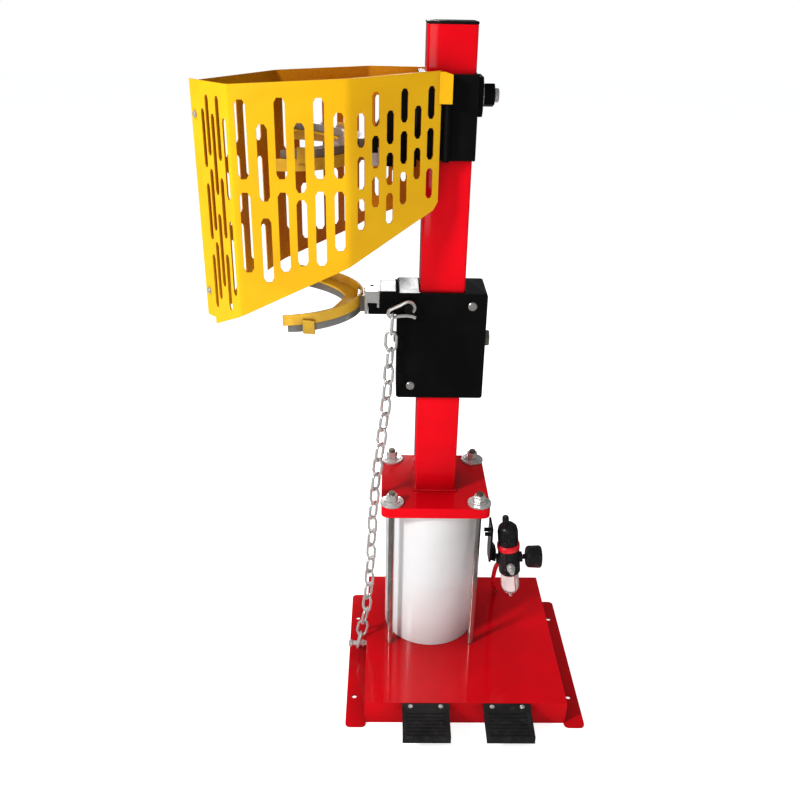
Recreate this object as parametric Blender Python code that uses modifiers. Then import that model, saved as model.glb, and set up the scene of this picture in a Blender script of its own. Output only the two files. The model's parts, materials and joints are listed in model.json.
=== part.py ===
"""Pneumatic strut spring compressor: sheet base with two foot pedals, tie-rod air cylinder,
square column, a powered lower carriage and a clamped upper arm, each with a C claw, a slotted
guard cage, a limit chain and a filter-regulator. Metres, +Z up, floor at Z = 0. Places are
given from the column's axis, and the last lines move that to the middle of the footprint."""

import math

import bmesh
import bpy
from mathutils import Matrix, Vector

# ---------------------------------------------------------------- driving dimensions
COLUMN_AXIS = Vector((0.0605, 0.0990, 0.0))  # column's axis from the middle of the footprint
GAP = 0.0003                     # running gap between touching pieces

BASE_X0 = -0.134                 # base box, left wall outside
BASE_X1 = 0.2587
BASE_Y0 = -0.257                 # front wall outside
BASE_Y1 = 0.1357
BASE_TOP = 0.052
SHEET = 0.004
FLANGE_L = -0.171                # outer edges of the two floor flanges
FLANGE_R = 0.2955
FLANGE_Y0 = -0.2695
FLANGE_Y1 = (0.128, 0.107)       # rear ends of the left and right flange

COL = 0.040                      # half width of the square column
COL_WALL = 0.005
COL_Z1 = 1.2435
PLATE_HALF = 0.1055              # top plate of the cylinder
PLATE_Z0 = 0.3735
PLATE_Z1 = 0.396
ROD_AT = 0.0847                  # tie rods stand at +-ROD_AT
ROD_R = 0.0062
BARREL_R = 0.0955
BARREL_WALL = 0.005

STROKE = 0.150                   # travel of piston and carriage
PISTON_Z0 = 0.300                # piston at the top of its stroke
CAR_X = 0.0805                   # carriage half width
CAR_Y = 0.0465
CAR_Z0 = 0.6034
CAR_Z1 = 0.8078
CHANNEL = 0.0408                 # half width of the passage round the column
ROLLER_R = 0.0135
ROLLER_HI = (0.054, 0.784)       # x, z of the two guide rollers
ROLLER_LO = (-0.054, 0.628)
HOOK_AT = (-0.0605, 0.784)
CROSS_Z = 0.707                  # cross pin that joins rod head and carriage

ARM_Z0 = 0.763                   # lower arm
ARM_Z1 = 0.8066
RING_X = -0.2205                 # centre of both claws
RING_R = 0.0625
LOWER_RING_Z = 0.7640
UPPER_RING_Z = 1.0680
LOWER_RISE = 0.0300              # climb of each claw at its tips, for the coil's pitch
UPPER_RISE = 0.0170
LOWER_BEND = 1.6                 # above 1 the climb gathers towards the tips
UPPER_BEND = 1.0

SLEEVE_X0 = -0.052
SLEEVE_X1 = 0.0440
SLEEVE_Y = 0.050
SLEEVE_Z0 = 1.037
SLEEVE_Z1 = 1.1715
CLAMP_Z = 1.136                  # clamp bolt through sleeve and column

GUARD_T = 0.0025
HINGE_X = -0.0055                # guard door hinge line
HINGE_Y = -0.0585
SEAM = (-0.4165, -0.045)         # guard outline in plan, outside face
FRONT_L = (-0.338, -0.165)
FRONT_R = (-0.160, -0.150)
FRONT_END = (-0.0165, -0.0680)
REAR_L = (-0.298, 0.112)
REAR_R = (-0.132, 0.130)
REAR_END = (-0.030, 0.0545)

PEDAL_X = (-0.016, 0.141)
PEDAL_HALF = 0.045
PIVOT_Y = -0.215
PIVOT_Z = 0.028

FRL_AT = (0.1515, -0.090, 0.262)  # centre of the filter-regulator body
FRL_LEAN = math.radians(-6.3)     # its bowl hangs outwards a little

# ---------------------------------------------------------------- scene and helpers
for old in list(bpy.data.objects):
    bpy.data.objects.remove(old, do_unlink=True)

PARTS = bpy.data.collections.new("spring_compressor")
CUTTERS = bpy.data.collections.new("cutters")
bpy.context.scene.collection.children.link(PARTS)
bpy.context.scene.collection.children.link(CUTTERS)


def material(name, colour, metallic, roughness):
    mat = bpy.data.materials.new(name)
    mat.use_nodes = True
    shader = mat.node_tree.nodes["Principled BSDF"]
    shader.inputs["Base Color"].default_value = (*colour, 1.0)
    shader.inputs["Metallic"].default_value = metallic
    shader.inputs["Roughness"].default_value = roughness
    mat.diffuse_color = (*colour, 1.0)
    return mat


LOOKS = {
    "red": ((0.70, 0.010, 0.022), 0.0, 0.30),
    "black": ((0.012, 0.012, 0.013), 0.0, 0.35),
    "yellow": ((0.90, 0.52, 0.015), 0.0, 0.38),
    "liner": ((0.90, 0.66, 0.03), 0.0, 0.45),
    "zinc": ((0.62, 0.62, 0.60), 1.0, 0.35),
    "steel": ((0.42, 0.43, 0.42), 1.0, 0.40),
    "alu": ((0.80, 0.81, 0.82), 1.0, 0.25),
    "rubber": ((0.02, 0.02, 0.02), 0.0, 0.70),
    "brass": ((0.75, 0.55, 0.22), 1.0, 0.35),
    "bowl": ((0.75, 0.68, 0.66), 0.0, 0.15),
}


def add_object(name, mesh, look):
    """Links a mesh as a visible part, with a material of its own."""
    obj = bpy.data.objects.new(name, mesh)
    PARTS.objects.link(obj)
    mesh.materials.clear()
    mesh.materials.append(material(name + "_" + look, *LOOKS[look]))
    return obj


def mesh_from(bm, name):
    bmesh.ops.recalc_face_normals(bm, faces=bm.faces)
    mesh = bpy.data.meshes.new(name)
    bm.to_mesh(mesh)
    bm.free()
    return mesh


def box_mesh(name, x0, x1, y0, y1, z0, z1):
    bm = bmesh.new()
    bmesh.ops.create_cube(bm, size=1.0)
    size = Matrix.Diagonal((x1 - x0, y1 - y0, z1 - z0, 1.0))
    middle = Matrix.Translation(((x0 + x1) / 2, (y0 + y1) / 2, (z0 + z1) / 2))
    bmesh.ops.transform(bm, matrix=middle @ size, verts=bm.verts)
    return mesh_from(bm, name)


def axis_turn(axis):
    """Turns local Z to the named world axis."""
    if axis == "X":
        return Matrix.Rotation(math.radians(90), 4, "Y")
    if axis == "Y":
        return Matrix.Rotation(math.radians(-90), 4, "X")
    return Matrix.Identity(4)


def lathe_mesh(name, profile, at, axis="Z", sides=24, ring=False, turn=0.0):
    """Revolves (radius, height) points about the axis. A ring profile is closed on itself."""
    bm = bmesh.new()
    place = Matrix.Translation(at) @ axis_turn(axis)
    rows = []
    for radius, height in profile:
        if radius < 1e-7:
            rows.append([bm.verts.new(place @ Vector((0.0, 0.0, height)))])
            continue
        row = []
        for i in range(sides):
            angle = turn + 2 * math.pi * i / sides
            spot = Vector((radius * math.cos(angle), radius * math.sin(angle), height))
            row.append(bm.verts.new(place @ spot))
        rows.append(row)
    pairs = list(zip(rows, rows[1:]))
    if ring:
        pairs.append((rows[-1], rows[0]))
    for low, high in pairs:
        for i in range(sides):
            j = (i + 1) % sides
            corners = [low[i % len(low)], low[j % len(low)],
                       high[j % len(high)], high[i % len(high)]]
            distinct = []
            for vert in corners:
                if vert not in distinct:
                    distinct.append(vert)
            if len(distinct) > 2:
                bm.faces.new(distinct)
    if not ring:
        for row in (rows[0], rows[-1]):
            if len(row) > 1:
                bm.faces.new(row)
    return mesh_from(bm, name)


def cylinder_mesh(name, radius, length, at, axis="Z", sides=24, turn=0.0):
    """Cylinder that starts at the point and runs along +axis, or back when length < 0."""
    ends = sorted((0.0, length))
    return lathe_mesh(name, [(radius, ends[0]), (radius, ends[1])], at, axis, sides, turn=turn)


def prism_mesh(name, outline, low, high, plane="XY"):
    """Extrudes an outline. Plane XZ extrudes along Y, plane YZ along X."""
    bm = bmesh.new()
    rings = []
    for level in (low, high):
        ring = []
        for a, b in outline:
            spot = {"XY": (a, b, level), "XZ": (a, level, b), "YZ": (level, a, b)}[plane]
            ring.append(bm.verts.new(spot))
        rings.append(ring)
    count = len(outline)
    for i in range(count):
        j = (i + 1) % count
        bm.faces.new((rings[0][i], rings[0][j], rings[1][j], rings[1][i]))
    bm.faces.new(rings[0])
    bm.faces.new(rings[1])
    return mesh_from(bm, name)


def rounded(x0, x1, y0, y1, radius, steps=4):
    """Outline of a rectangle with rounded corners."""
    points = []
    for cx, cy, start in ((x1 - radius, y1 - radius, 0), (x0 + radius, y1 - radius, 90),
                          (x0 + radius, y0 + radius, 180), (x1 - radius, y0 + radius, 270)):
        for i in range(steps + 1):
            angle = math.radians(start + 90 * i / steps)
            points.append((cx + radius * math.cos(angle), cy + radius * math.sin(angle)))
    return points


def frames_along(path, closed):
    """Tangents and stable side vectors for a polyline."""
    count = len(path)
    tangents = []
    for i in range(count):
        if closed:
            step = path[(i + 1) % count] - path[i - 1]
        else:
            step = path[min(i + 1, count - 1)] - path[max(i - 1, 0)]
        tangents.append(step.normalized())
    return tangents


def tube_mesh(name, path, radius, sides=8, closed=False, side=Vector((0, 0, 1))):
    """Round bar along a polyline that never runs parallel to the side vector."""
    path = [Vector(p) for p in path]
    bm = bmesh.new()
    rings = []
    for spot, tangent in zip(path, frames_along(path, closed)):
        across = tangent.cross(side).normalized()
        up = across.cross(tangent).normalized()
        ring = []
        for i in range(sides):
            angle = 2 * math.pi * (i + 0.5) / sides
            ring.append(bm.verts.new(spot + radius * (math.cos(angle) * across
                                                      + math.sin(angle) * up)))
        rings.append(ring)
    pairs = list(zip(rings, rings[1:]))
    if closed:
        pairs.append((rings[-1], rings[0]))
    for one, two in pairs:
        for i in range(sides):
            j = (i + 1) % sides
            bm.faces.new((one[i], one[j], two[j], two[i]))
    if not closed:
        bm.faces.new(rings[0])
        bm.faces.new(rings[-1])
    return mesh_from(bm, name)


def join_meshes(name, meshes):
    bm = bmesh.new()
    for mesh in meshes:
        bm.from_mesh(mesh)
    mesh = bpy.data.meshes.new(name)
    bm.to_mesh(mesh)
    bm.free()
    return mesh


def combine(obj, mesh, operation):
    """Boolean of a part with a hidden tool body."""
    tool = bpy.data.objects.new(obj.name + "_tool_" + str(len(obj.modifiers)), mesh)
    CUTTERS.objects.link(tool)
    tool.hide_render = True
    tool.display_type = "WIRE"
    step = obj.modifiers.new("boolean_" + str(len(obj.modifiers)), "BOOLEAN")
    step.object = tool
    step.operation = operation
    step.solver = "EXACT"


def cut(obj, *meshes):
    combine(obj, join_meshes(obj.name + "_cut", meshes), "DIFFERENCE")


def unite(obj, mesh):
    combine(obj, mesh, "UNION")


def bevel(obj, width, segments=2, angle=50):
    step = obj.modifiers.new("bevel", "BEVEL")
    step.width = width
    step.segments = segments
    step.limit_method = "ANGLE"
    step.angle_limit = math.radians(angle)


def set_origin(obj, spot):
    """Moves an object's origin to its joint without moving the piece."""
    spot = Vector(spot)
    obj.data.transform(Matrix.Translation(-spot))
    obj.location = spot


def hexagon(name, flats, low, high, at, axis="Z", turn=0.0):
    radius = flats / 2 / math.cos(math.pi / 6)
    chamfer = min(0.0015, (high - low) * 0.2)
    profile = [(radius - chamfer, low), (radius, low + chamfer),
               (radius, high - chamfer), (radius - chamfer, high)]
    return lathe_mesh(name, profile, at, axis, 6, turn=turn)


# ---------------------------------------------------------------- base
# Inverted pan with four walls, and a floor flange welded along each side wall.
base = add_object("base_tray", box_mesh("base_tray", BASE_X0, BASE_X1, BASE_Y0, BASE_Y1,
                                        0.0006, BASE_TOP), "red")
cut(base, box_mesh("hollow", BASE_X0 + SHEET, BASE_X1 - SHEET, BASE_Y0 + SHEET,
                   BASE_Y1 - SHEET, -0.01, BASE_TOP - SHEET))
for x_in, x_out, rear in ((BASE_X0 + 0.003, FLANGE_L, FLANGE_Y1[0]),
                          (BASE_X1 - 0.003, FLANGE_R, FLANGE_Y1[1])):
    low, high = sorted((x_in, x_out))
    unite(base, prism_mesh("flange", rounded(low, high, FLANGE_Y0, rear, 0.009),
                           0.0, SHEET))
base_cuts = []
for cx in (-0.156, 0.277):
    for cy in (0.046, -0.192):
        base_cuts.append(cylinder_mesh("hole", 0.005, 0.02, (cx, cy, -0.008), sides=12))
for sx in (-1, 1):
    for sy in (-1, 1):
        base_cuts.append(cylinder_mesh("rod_hole", ROD_R + GAP, 0.02,
                                       (sx * ROD_AT, sy * ROD_AT, 0.04), sides=16))
base_cuts.append(cylinder_mesh("air_hole", 0.0068, 0.02, (0.1543, 0.0841, 0.04), sides=12))
for cx in PEDAL_X:
    base_cuts.append(box_mesh("arm_slot", cx - 0.020, cx + 0.020, BASE_Y0 - 0.01,
                              BASE_Y0 + 0.01, 0.010, 0.0455))
base_cuts.append(cylinder_mesh("stub_hole", 0.0053, 0.02, (BASE_X0 - 0.006, -0.066, 0.030),
                               "X", 12))
cut(base, *base_cuts)

# Chain anchor stub, bolted through the left wall.
add_object("chain_anchor", lathe_mesh("chain_anchor", [
    (0.0, -0.012), (0.0050, -0.012), (0.0050, 0.006), (0.0075, 0.0062), (0.0075, 0.009),
    (0.0050, 0.0092), (0.0050, 0.030), (0.0072, 0.031), (0.0072, 0.0372), (0.0, 0.0385)],
    (BASE_X0, -0.066, 0.030), "X", 14), "zinc")
bpy.data.objects["chain_anchor"].data.transform(
    Matrix.Translation((BASE_X0, 0, 0)) @ Matrix.Diagonal((-1, 1, 1, 1))
    @ Matrix.Translation((-BASE_X0, 0, 0)))
bpy.data.objects["chain_anchor"].data.flip_normals()

# ---------------------------------------------------------------- pedals
for side, cx in zip(("left", "right"), PEDAL_X):
    front_y = -0.3330
    profile = [(BASE_Y0 - GAP - 0.0005, 0.0515), (-0.2700, 0.0515), (front_y, 0.0440),
               (front_y - 0.0010, 0.0290), (front_y + 0.004, 0.0285),
               (front_y + 0.005, 0.0390), (BASE_Y0 - 0.006, 0.0440),
               (BASE_Y0 - GAP - 0.0005, 0.0440)]
    pedal = add_object("pedal_" + side, prism_mesh(
        "pedal_" + side, profile, cx - PEDAL_HALF, cx + PEDAL_HALF, "YZ"), "rubber")
    for edge in (-1, 1):
        wall = [(BASE_Y0 - 0.001, 0.0505), (front_y, 0.0430), (front_y - 0.0008, 0.0290),
                (BASE_Y0 - 0.012, 0.0300), (BASE_Y0 - 0.001, 0.0400)]
        x_a = cx + edge * (PEDAL_HALF - 0.0002)
        x_b = cx + edge * (PEDAL_HALF - 0.0042)
        unite(pedal, prism_mesh("skirt", wall, min(x_a, x_b), max(x_a, x_b), "YZ"))
    arm = [(BASE_Y0 - 0.030, 0.0450), (BASE_Y0 - 0.030, 0.0300), (BASE_Y0 + 0.006, 0.0190),
           (PIVOT_Y - 0.010, 0.0170), (PIVOT_Y + 0.045, 0.0200), (PIVOT_Y + 0.045, 0.0290),
           (PIVOT_Y + 0.010, 0.0390), (BASE_Y0 + 0.006, 0.0400), (BASE_Y0 - 0.002, 0.0445)]
    unite(pedal, prism_mesh("lever", arm, cx - 0.015, cx + 0.015, "YZ"))
    ribs = []
    for i in range(7):
        t = i / 6
        y = -0.2830 - 0.0465 * t
        z = 0.0515 - (0.0075 * (-0.270 - y) / 0.063)
        ribs.append(box_mesh("rib", cx - 0.037, cx + 0.037, y - 0.0014, y + 0.0014,
                             z - 0.0014, z + 0.003))
    cut(pedal, cylinder_mesh("bore", 0.0053, 0.05, (cx - 0.025, PIVOT_Y, PIVOT_Z), "X", 16),
        *ribs)
    set_origin(pedal, (cx, PIVOT_Y, PIVOT_Z))
shaft_x0 = PEDAL_X[0] - 0.030
add_object("pedal_shaft", cylinder_mesh("pedal_shaft", 0.0050,
                                        PEDAL_X[1] + 0.030 - shaft_x0,
                                        (shaft_x0, PIVOT_Y, PIVOT_Z), "X", 16), "steel")
valve = add_object("foot_valve", box_mesh("foot_valve", -0.040, 0.165, PIVOT_Y + 0.050,
                                          PIVOT_Y + 0.085, 0.0120, 0.0470), "alu")
bevel(valve, 0.0015, 1)

# ---------------------------------------------------------------- air cylinder
plate = add_object("bottom_plate", prism_mesh("bottom_plate", rounded(
    -0.102, 0.102, -0.102, 0.102, 0.014), 0.0340, BASE_TOP - SHEET - GAP), "steel")
cut(plate, *[cylinder_mesh("h", ROD_R + GAP, 0.03, (sx * ROD_AT, sy * ROD_AT, 0.025), sides=16)
             for sx in (-1, 1) for sy in (-1, 1)])

barrel_in = BARREL_R - BARREL_WALL
add_object("barrel", lathe_mesh("barrel", [
    (barrel_in, BASE_TOP + GAP), (BARREL_R, BASE_TOP + GAP),
    (BARREL_R, PLATE_Z0 - GAP), (barrel_in, PLATE_Z0 - GAP)],
    (0, 0, 0), "Z", 48, ring=True), "alu")

top = add_object("top_plate", prism_mesh("top_plate", rounded(
    -PLATE_HALF, PLATE_HALF, -PLATE_HALF, PLATE_HALF, 0.014), PLATE_Z0, PLATE_Z1), "red")
bevel(top, 0.0012, 1)
cut(top, cylinder_mesh("gland", 0.0163, 0.05, (0, 0, PLATE_Z0 - 0.01), sides=24),
    *[cylinder_mesh("h", ROD_R + GAP, 0.05, (sx * ROD_AT, sy * ROD_AT, PLATE_Z0 - 0.01),
                    sides=16) for sx in (-1, 1) for sy in (-1, 1)])

corners = {"fl": (-1, -1), "fr": (1, -1), "bl": (-1, 1), "br": (1, 1)}
for key, (sx, sy) in corners.items():
    x, y = sx * ROD_AT, sy * ROD_AT
    rod = add_object("tie_rod_" + key, lathe_mesh("tie_rod_" + key, [
        (0.0, 0.0205), (0.0098, 0.0205), (0.0098, 0.0335), (ROD_R, 0.0337),
        (ROD_R, 0.4185), (0.0050, 0.4200), (0.0, 0.4200)], (x, y, 0), "Z", 16), "zinc")
    washer = add_object("washer_" + key, lathe_mesh("washer_" + key, [
        (ROD_R + GAP, PLATE_Z1 + GAP), (0.0232, PLATE_Z1 + GAP), (0.0228, PLATE_Z1 + 0.0036),
        (0.0150, PLATE_Z1 + 0.0040), (0.0146, PLATE_Z1 + 0.0064),
        (ROD_R + GAP, PLATE_Z1 + 0.0064)],
        (x, y, 0), "Z", 18, ring=True), "zinc")
    nut = add_object("nut_" + key, hexagon("nut_" + key, 0.0200, PLATE_Z1 + 0.0067,
                                           PLATE_Z1 + 0.0190, (x, y, 0), turn=0.3 + sx * 0.2),
                     "zinc")
    cut(nut, cylinder_mesh("bore", ROD_R + GAP, 0.03, (x, y, PLATE_Z1), sides=16))

# Piston with a seal groove, and its rod up into the column.
add_object("piston", lathe_mesh("piston", [
    (0.0, PISTON_Z0), (0.0895, PISTON_Z0), (0.0895, PISTON_Z0 + 0.012),
    (0.0902, PISTON_Z0 + 0.013), (0.0902, PISTON_Z0 + 0.027), (0.0895, PISTON_Z0 + 0.028),
    (0.0895, PISTON_Z0 + 0.040), (0.0, PISTON_Z0 + 0.040)], (0, 0, 0), "Z", 28), "alu")
add_object("piston_rod", cylinder_mesh("piston_rod", 0.0160, 0.680 - 2 * GAP - PISTON_Z0 - 0.040,
                                       (0, 0, PISTON_Z0 + 0.040 + GAP), sides=24), "steel")

# ---------------------------------------------------------------- column
inner = COL - COL_WALL
column = add_object("column", prism_mesh("column", rounded(-COL, COL, -COL, COL, 0.004, 3),
                                         PLATE_Z1 + GAP, COL_Z1), "red")
cut(column, prism_mesh("inside", rounded(-inner, inner, -inner, inner, 0.002, 1),
                       PLATE_Z1 - 0.01, COL_Z1 + 0.01))
slot_low = CROSS_Z - STROKE - 0.014
cut(column, box_mesh("pin_slot", -0.06, 0.06, -0.0108, 0.0108, slot_low, CROSS_Z + 0.014),
    cylinder_mesh("clamp_hole", 0.0113, 0.12, (-0.06, 0, CLAMP_Z), "X", 20))
cap = add_object("column_cap", prism_mesh("column_cap", rounded(
    -COL - 0.0008, COL + 0.0008, -COL - 0.0008, COL + 0.0008, 0.0045, 3),
    COL_Z1 + GAP, COL_Z1 + 0.0045), "black")
bevel(cap, 0.0012, 1, 60)
plug = inner - 0.0006
unite(cap, box_mesh("plug", -plug + 0.001, plug - 0.001, -plug + 0.001, plug - 0.001,
                    COL_Z1 - 0.016, COL_Z1 + 0.002))

# ---------------------------------------------------------------- lower carriage
carriage = add_object("carriage_body", prism_mesh("carriage_body", rounded(
    -CAR_X, CAR_X, CAR_Z0, CAR_Z1, 0.0045, 2), -CAR_Y, CAR_Y, "XZ"), "black")
cut(carriage, box_mesh("passage", -CHANNEL, CHANNEL, -CHANNEL, CHANNEL, CAR_Z0 - 0.01,
                       CAR_Z1 + 0.01))
pockets = []
for side, (px, pz) in ((1, ROLLER_HI), (-1, ROLLER_LO)):
    x0, x1 = sorted((side * (CHANNEL - 0.004), side * 0.0715))
    pockets.append(box_mesh("pocket", x0, x1, -0.0375, 0.0375, pz - 0.0170, pz + 0.0170))
cut(carriage, *pockets)
bores = [cylinder_mesh("bore", 0.0083, 0.11, (px, -0.055, pz), "Y", 16)
         for px, pz in (ROLLER_HI, ROLLER_LO)]
bores.append(cylinder_mesh("bore", 0.0063, 0.03, (HOOK_AT[0], -0.0600, HOOK_AT[1]), "Y", 14))
bores.append(cylinder_mesh("bore", 0.0103, 0.20, (-0.10, 0, CROSS_Z), "X", 20))
cut(carriage, *bores)
bevel(carriage, 0.0010, 1, 70)

for key, (px, pz) in (("upper", ROLLER_HI), ("lower", ROLLER_LO)):
    roller = add_object("roller_" + key, lathe_mesh("roller_" + key, [
        (0.0083, -0.0365), (0.0125, -0.0365), (ROLLER_R, -0.0350), (ROLLER_R, 0.0350),
        (0.0125, 0.0365), (0.0083, 0.0365)], (px, 0, pz), "Y", 24, ring=True), "steel")
    set_origin(roller, (px, 0, pz))
    add_object("roller_pin_" + key, lathe_mesh("roller_pin_" + key, [
        (0.0, -0.0488), (0.0066, -0.0488), (0.0080, -0.0476), (0.0080, 0.0476),
        (0.0066, 0.0488), (0.0, 0.0488)], (px, 0, pz), "Y", 18), "steel")

# Rod head inside the column, and the cross pin through head, column slots and carriage.
head = add_object("rod_head", box_mesh("rod_head", -0.0325, 0.0325, -0.0325, 0.0325,
                                       0.680, 0.735), "steel")
bevel(head, 0.002, 1)
cut(head, cylinder_mesh("bore", 0.0103, 0.10, (-0.05, 0, CROSS_Z), "X", 20))
pin = add_object("cross_pin", lathe_mesh("cross_pin", [
    (0.0, -0.0860), (0.0085, -0.0860), (0.0100, -0.0845), (0.0100, 0.0810), (0.0, 0.0810)],
    (0, 0, CROSS_Z), "X", 20), "steel")
unite(pin, hexagon("pin_head", 0.0280, 0.0808, 0.0920, (0, 0, CROSS_Z), "X", 0.2))

# Bolt that carries the chain hook.
add_object("hook_bolt", lathe_mesh("hook_bolt", [
    (0.0, -0.0680), (0.0060, -0.0680), (0.0069, -0.0672), (0.0069, -0.0645), (0.0058, -0.0643),
    (0.0058, -0.0505), (0.0105, -0.0502), (0.0105, -0.0470), (0.0060, -0.0468),
    (0.0060, -0.0320), (0.0, -0.0320)], (HOOK_AT[0], 0, HOOK_AT[1]), "Y", 16), "zinc")

# Hook bent from round bar: over the bolt, down to a bend that holds the chain, and back under
# the bolt to a free end.
HOOK_Y = -0.0572
HOOK_WIRE = 0.0031
EYE = Vector((HOOK_AT[0], HOOK_Y, HOOK_AT[1]))
EYE_R = 0.0108
BEND = Vector((-0.0885, HOOK_Y, 0.7730))
BEND_R = 0.0080


def round_point(centre, radius, degrees):
    angle = math.radians(degrees)
    return centre + radius * Vector((math.cos(angle), 0, math.sin(angle)))


hook_path = [round_point(EYE, EYE_R, -45 + 18 * i) for i in range(10)]
hook_path += [round_point(BEND, BEND_R, 118 + 21 * i) for i in range(8)]
hook_path += [EYE + Vector(offset) for offset in ((-0.0150, 0, -0.0158), (-0.0030, 0, -0.0150),
                                                  (0.0070, 0, -0.0160), (0.0130, 0, -0.0185))]
add_object("chain_hook", tube_mesh("chain_hook", hook_path, HOOK_WIRE, 7, side=Vector((0, 1, 0))),
           "zinc")

# Arm welded on the carriage, stepped down under the claw bracket.
arm = add_object("lower_arm", prism_mesh("lower_arm", [
    (-CAR_X - GAP, ARM_Z0), (-CAR_X - GAP, ARM_Z1), (-0.1110, ARM_Z1), (-0.1110, 0.7845),
    (-0.1325, 0.7845), (-0.1325, ARM_Z0)], -0.0350, 0.0350, "XZ"), "black")
bevel(arm, 0.0010, 1)


def claw_bracket(name, flip, z_ref):
    """Inverted channel that hooks over the arm's tongue. Heights are from the arm's bottom."""
    def z_at(height):
        return z_ref + flip * height
    lo, hi = sorted((z_at(0.0), z_at(0.0436)))
    body = add_object(name, box_mesh(name, -0.1390, -0.1118, -0.0362, 0.0362, lo, hi), "zinc")
    bevel(body, 0.0012, 1)
    lo, hi = sorted((z_at(-0.01), z_at(0.0386)))
    inside = box_mesh("inside", -0.1335, -0.10, -0.0355, 0.0355, lo, hi)
    lo, hi = sorted((z_at(-0.01), z_at(0.0220)))
    below = box_mesh("below", -0.1335, -0.1165, -0.05, 0.05, lo, hi)
    lo, hi = sorted((z_at(-0.01), z_at(0.0130)))
    tooth = box_mesh("tooth", -0.1170, -0.10, -0.05, 0.05, lo, hi)
    lo, hi = sorted((z_at(0.03), z_at(0.05)))
    hole = cylinder_mesh("hole", 0.0056, hi - lo, (-0.1255, -0.004, lo), sides=14)
    cut(body, inside)
    cut(body, below)
    cut(body, tooth)
    cut(body, hole)
    return body


bracket = claw_bracket("lower_bracket", 1, ARM_Z0)


CLAW_START = -136.0
CLAW_STOP = 130.0


def climb(degrees, rise, power):
    """Height of the claw's seat at an angle from the bracket."""
    return math.copysign(rise * (abs(degrees) / abs(CLAW_START)) ** power, degrees)


def arc_sweep(name, section, start, stop, steps, rise, power, flare=0.0):
    """Sweeps a closed (radial, height) section round the claw centre. The helical rise and an
    outward flare at both tips follow a coil's seat. The floor widens inwards by the lug."""
    bm = bmesh.new()
    rings = []
    for i in range(steps + 1):
        t = i / steps
        degrees = start + (stop - start) * t
        angle = math.radians(degrees)
        tip = max(0.0, abs(2 * t - 1) - 0.8) / 0.2
        wide = math.cos(math.radians(min(90.0, abs(degrees + 28) * 1.9)))
        ring = []
        for radial, height in section:
            radius = RING_R + radial + flare * tip * tip
            if radial < 0:
                radius -= 0.0085 * wide
            ring.append(bm.verts.new((RING_X + radius * math.cos(angle),
                                      radius * math.sin(angle),
                                      height + climb(degrees, rise, power))))
        rings.append(ring)
    size = len(section)
    for one, two in zip(rings, rings[1:]):
        for i in range(size):
            j = (i + 1) % size
            bm.faces.new((one[i], one[j], two[j], two[i]))
    bm.faces.new(rings[0])
    bm.faces.new(rings[-1])
    return mesh_from(bm, name)


def claw(key, z, flip, rise, power):
    """Steel C with a lug to the bracket, and the clipped yellow liner with an outer wall."""
    def rows(points):
        return [(r, z + flip * h) for r, h in points]
    steel = add_object(key + "_claw", arc_sweep(key + "_claw", rows([
        (-0.0140, 0.0), (0.0140, 0.0), (0.0140, 0.0125), (-0.0140, 0.0125)]),
        CLAW_START, CLAW_STOP, 38, rise, power), "steel")
    lo, hi = sorted((z + flip * 0.0008, z + flip * 0.0302))
    lug = box_mesh("lug", -0.1520, -0.1393, -0.0240, 0.0240, lo, hi)
    unite(steel, lug)
    liner = add_object(key + "_liner", arc_sweep(key + "_liner", rows([
        (-0.0150, 0.0132), (0.0150, 0.0132), (0.0158, 0.0330), (0.0120, 0.0330),
        (0.0095, 0.0190), (-0.0150, 0.0176)]),
        CLAW_START - 3, CLAW_STOP + 3, 38, rise, power, 0.006), "liner")
    lo, hi = sorted((z + flip * -0.002, z + flip * 0.0310))
    relief = box_mesh("relief", -0.1540, -0.10, -0.0248, 0.0248, lo, hi)
    cut(liner, relief)
    clips = []
    for angle in (-101.0, 58.0, 112.0):
        turn = Matrix.Translation((RING_X, 0, climb(angle, rise, power)))
        turn = turn @ Matrix.Rotation(math.radians(angle), 4, "Z")
        lo, hi = sorted((z - flip * 0.0045, z + flip * 0.0210))
        tab = box_mesh("tab", RING_R + 0.0144, RING_R + 0.0184, -0.0105, 0.0105, lo, hi)
        tab.transform(turn)
        clips.append(tab)
    for tab in clips:
        unite(liner, tab)
    return steel, liner


claw("lower", LOWER_RING_Z, 1, LOWER_RISE, LOWER_BEND)

# ---------------------------------------------------------------- upper sleeve and arm
sleeve = add_object("sleeve", box_mesh("sleeve", SLEEVE_X0, SLEEVE_X1, -SLEEVE_Y, SLEEVE_Y,
                                       SLEEVE_Z0, SLEEVE_Z1), "black")
bevel(sleeve, 0.0012, 1)
cut(sleeve, box_mesh("passage", -COL - 0.0004, COL + 0.0004, -COL - 0.0004, COL + 0.0004,
                     SLEEVE_Z0 - 0.01, SLEEVE_Z1 + 0.01))
ear = [(-0.030, 1.1665), (0.030, 1.1665), (0.040, 1.1570), (0.040, 1.1160), (0.031, 1.1050),
       (-0.031, 1.1050), (-0.040, 1.1160), (-0.040, 1.1570)]
unite(sleeve, prism_mesh("ear", ear, SLEEVE_X1 - 0.0004, 0.0530, "YZ"))
cut(sleeve, cylinder_mesh("bolt_bore", 0.0113, 0.16, (-0.08, 0, CLAMP_Z), "X", 20))

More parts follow.
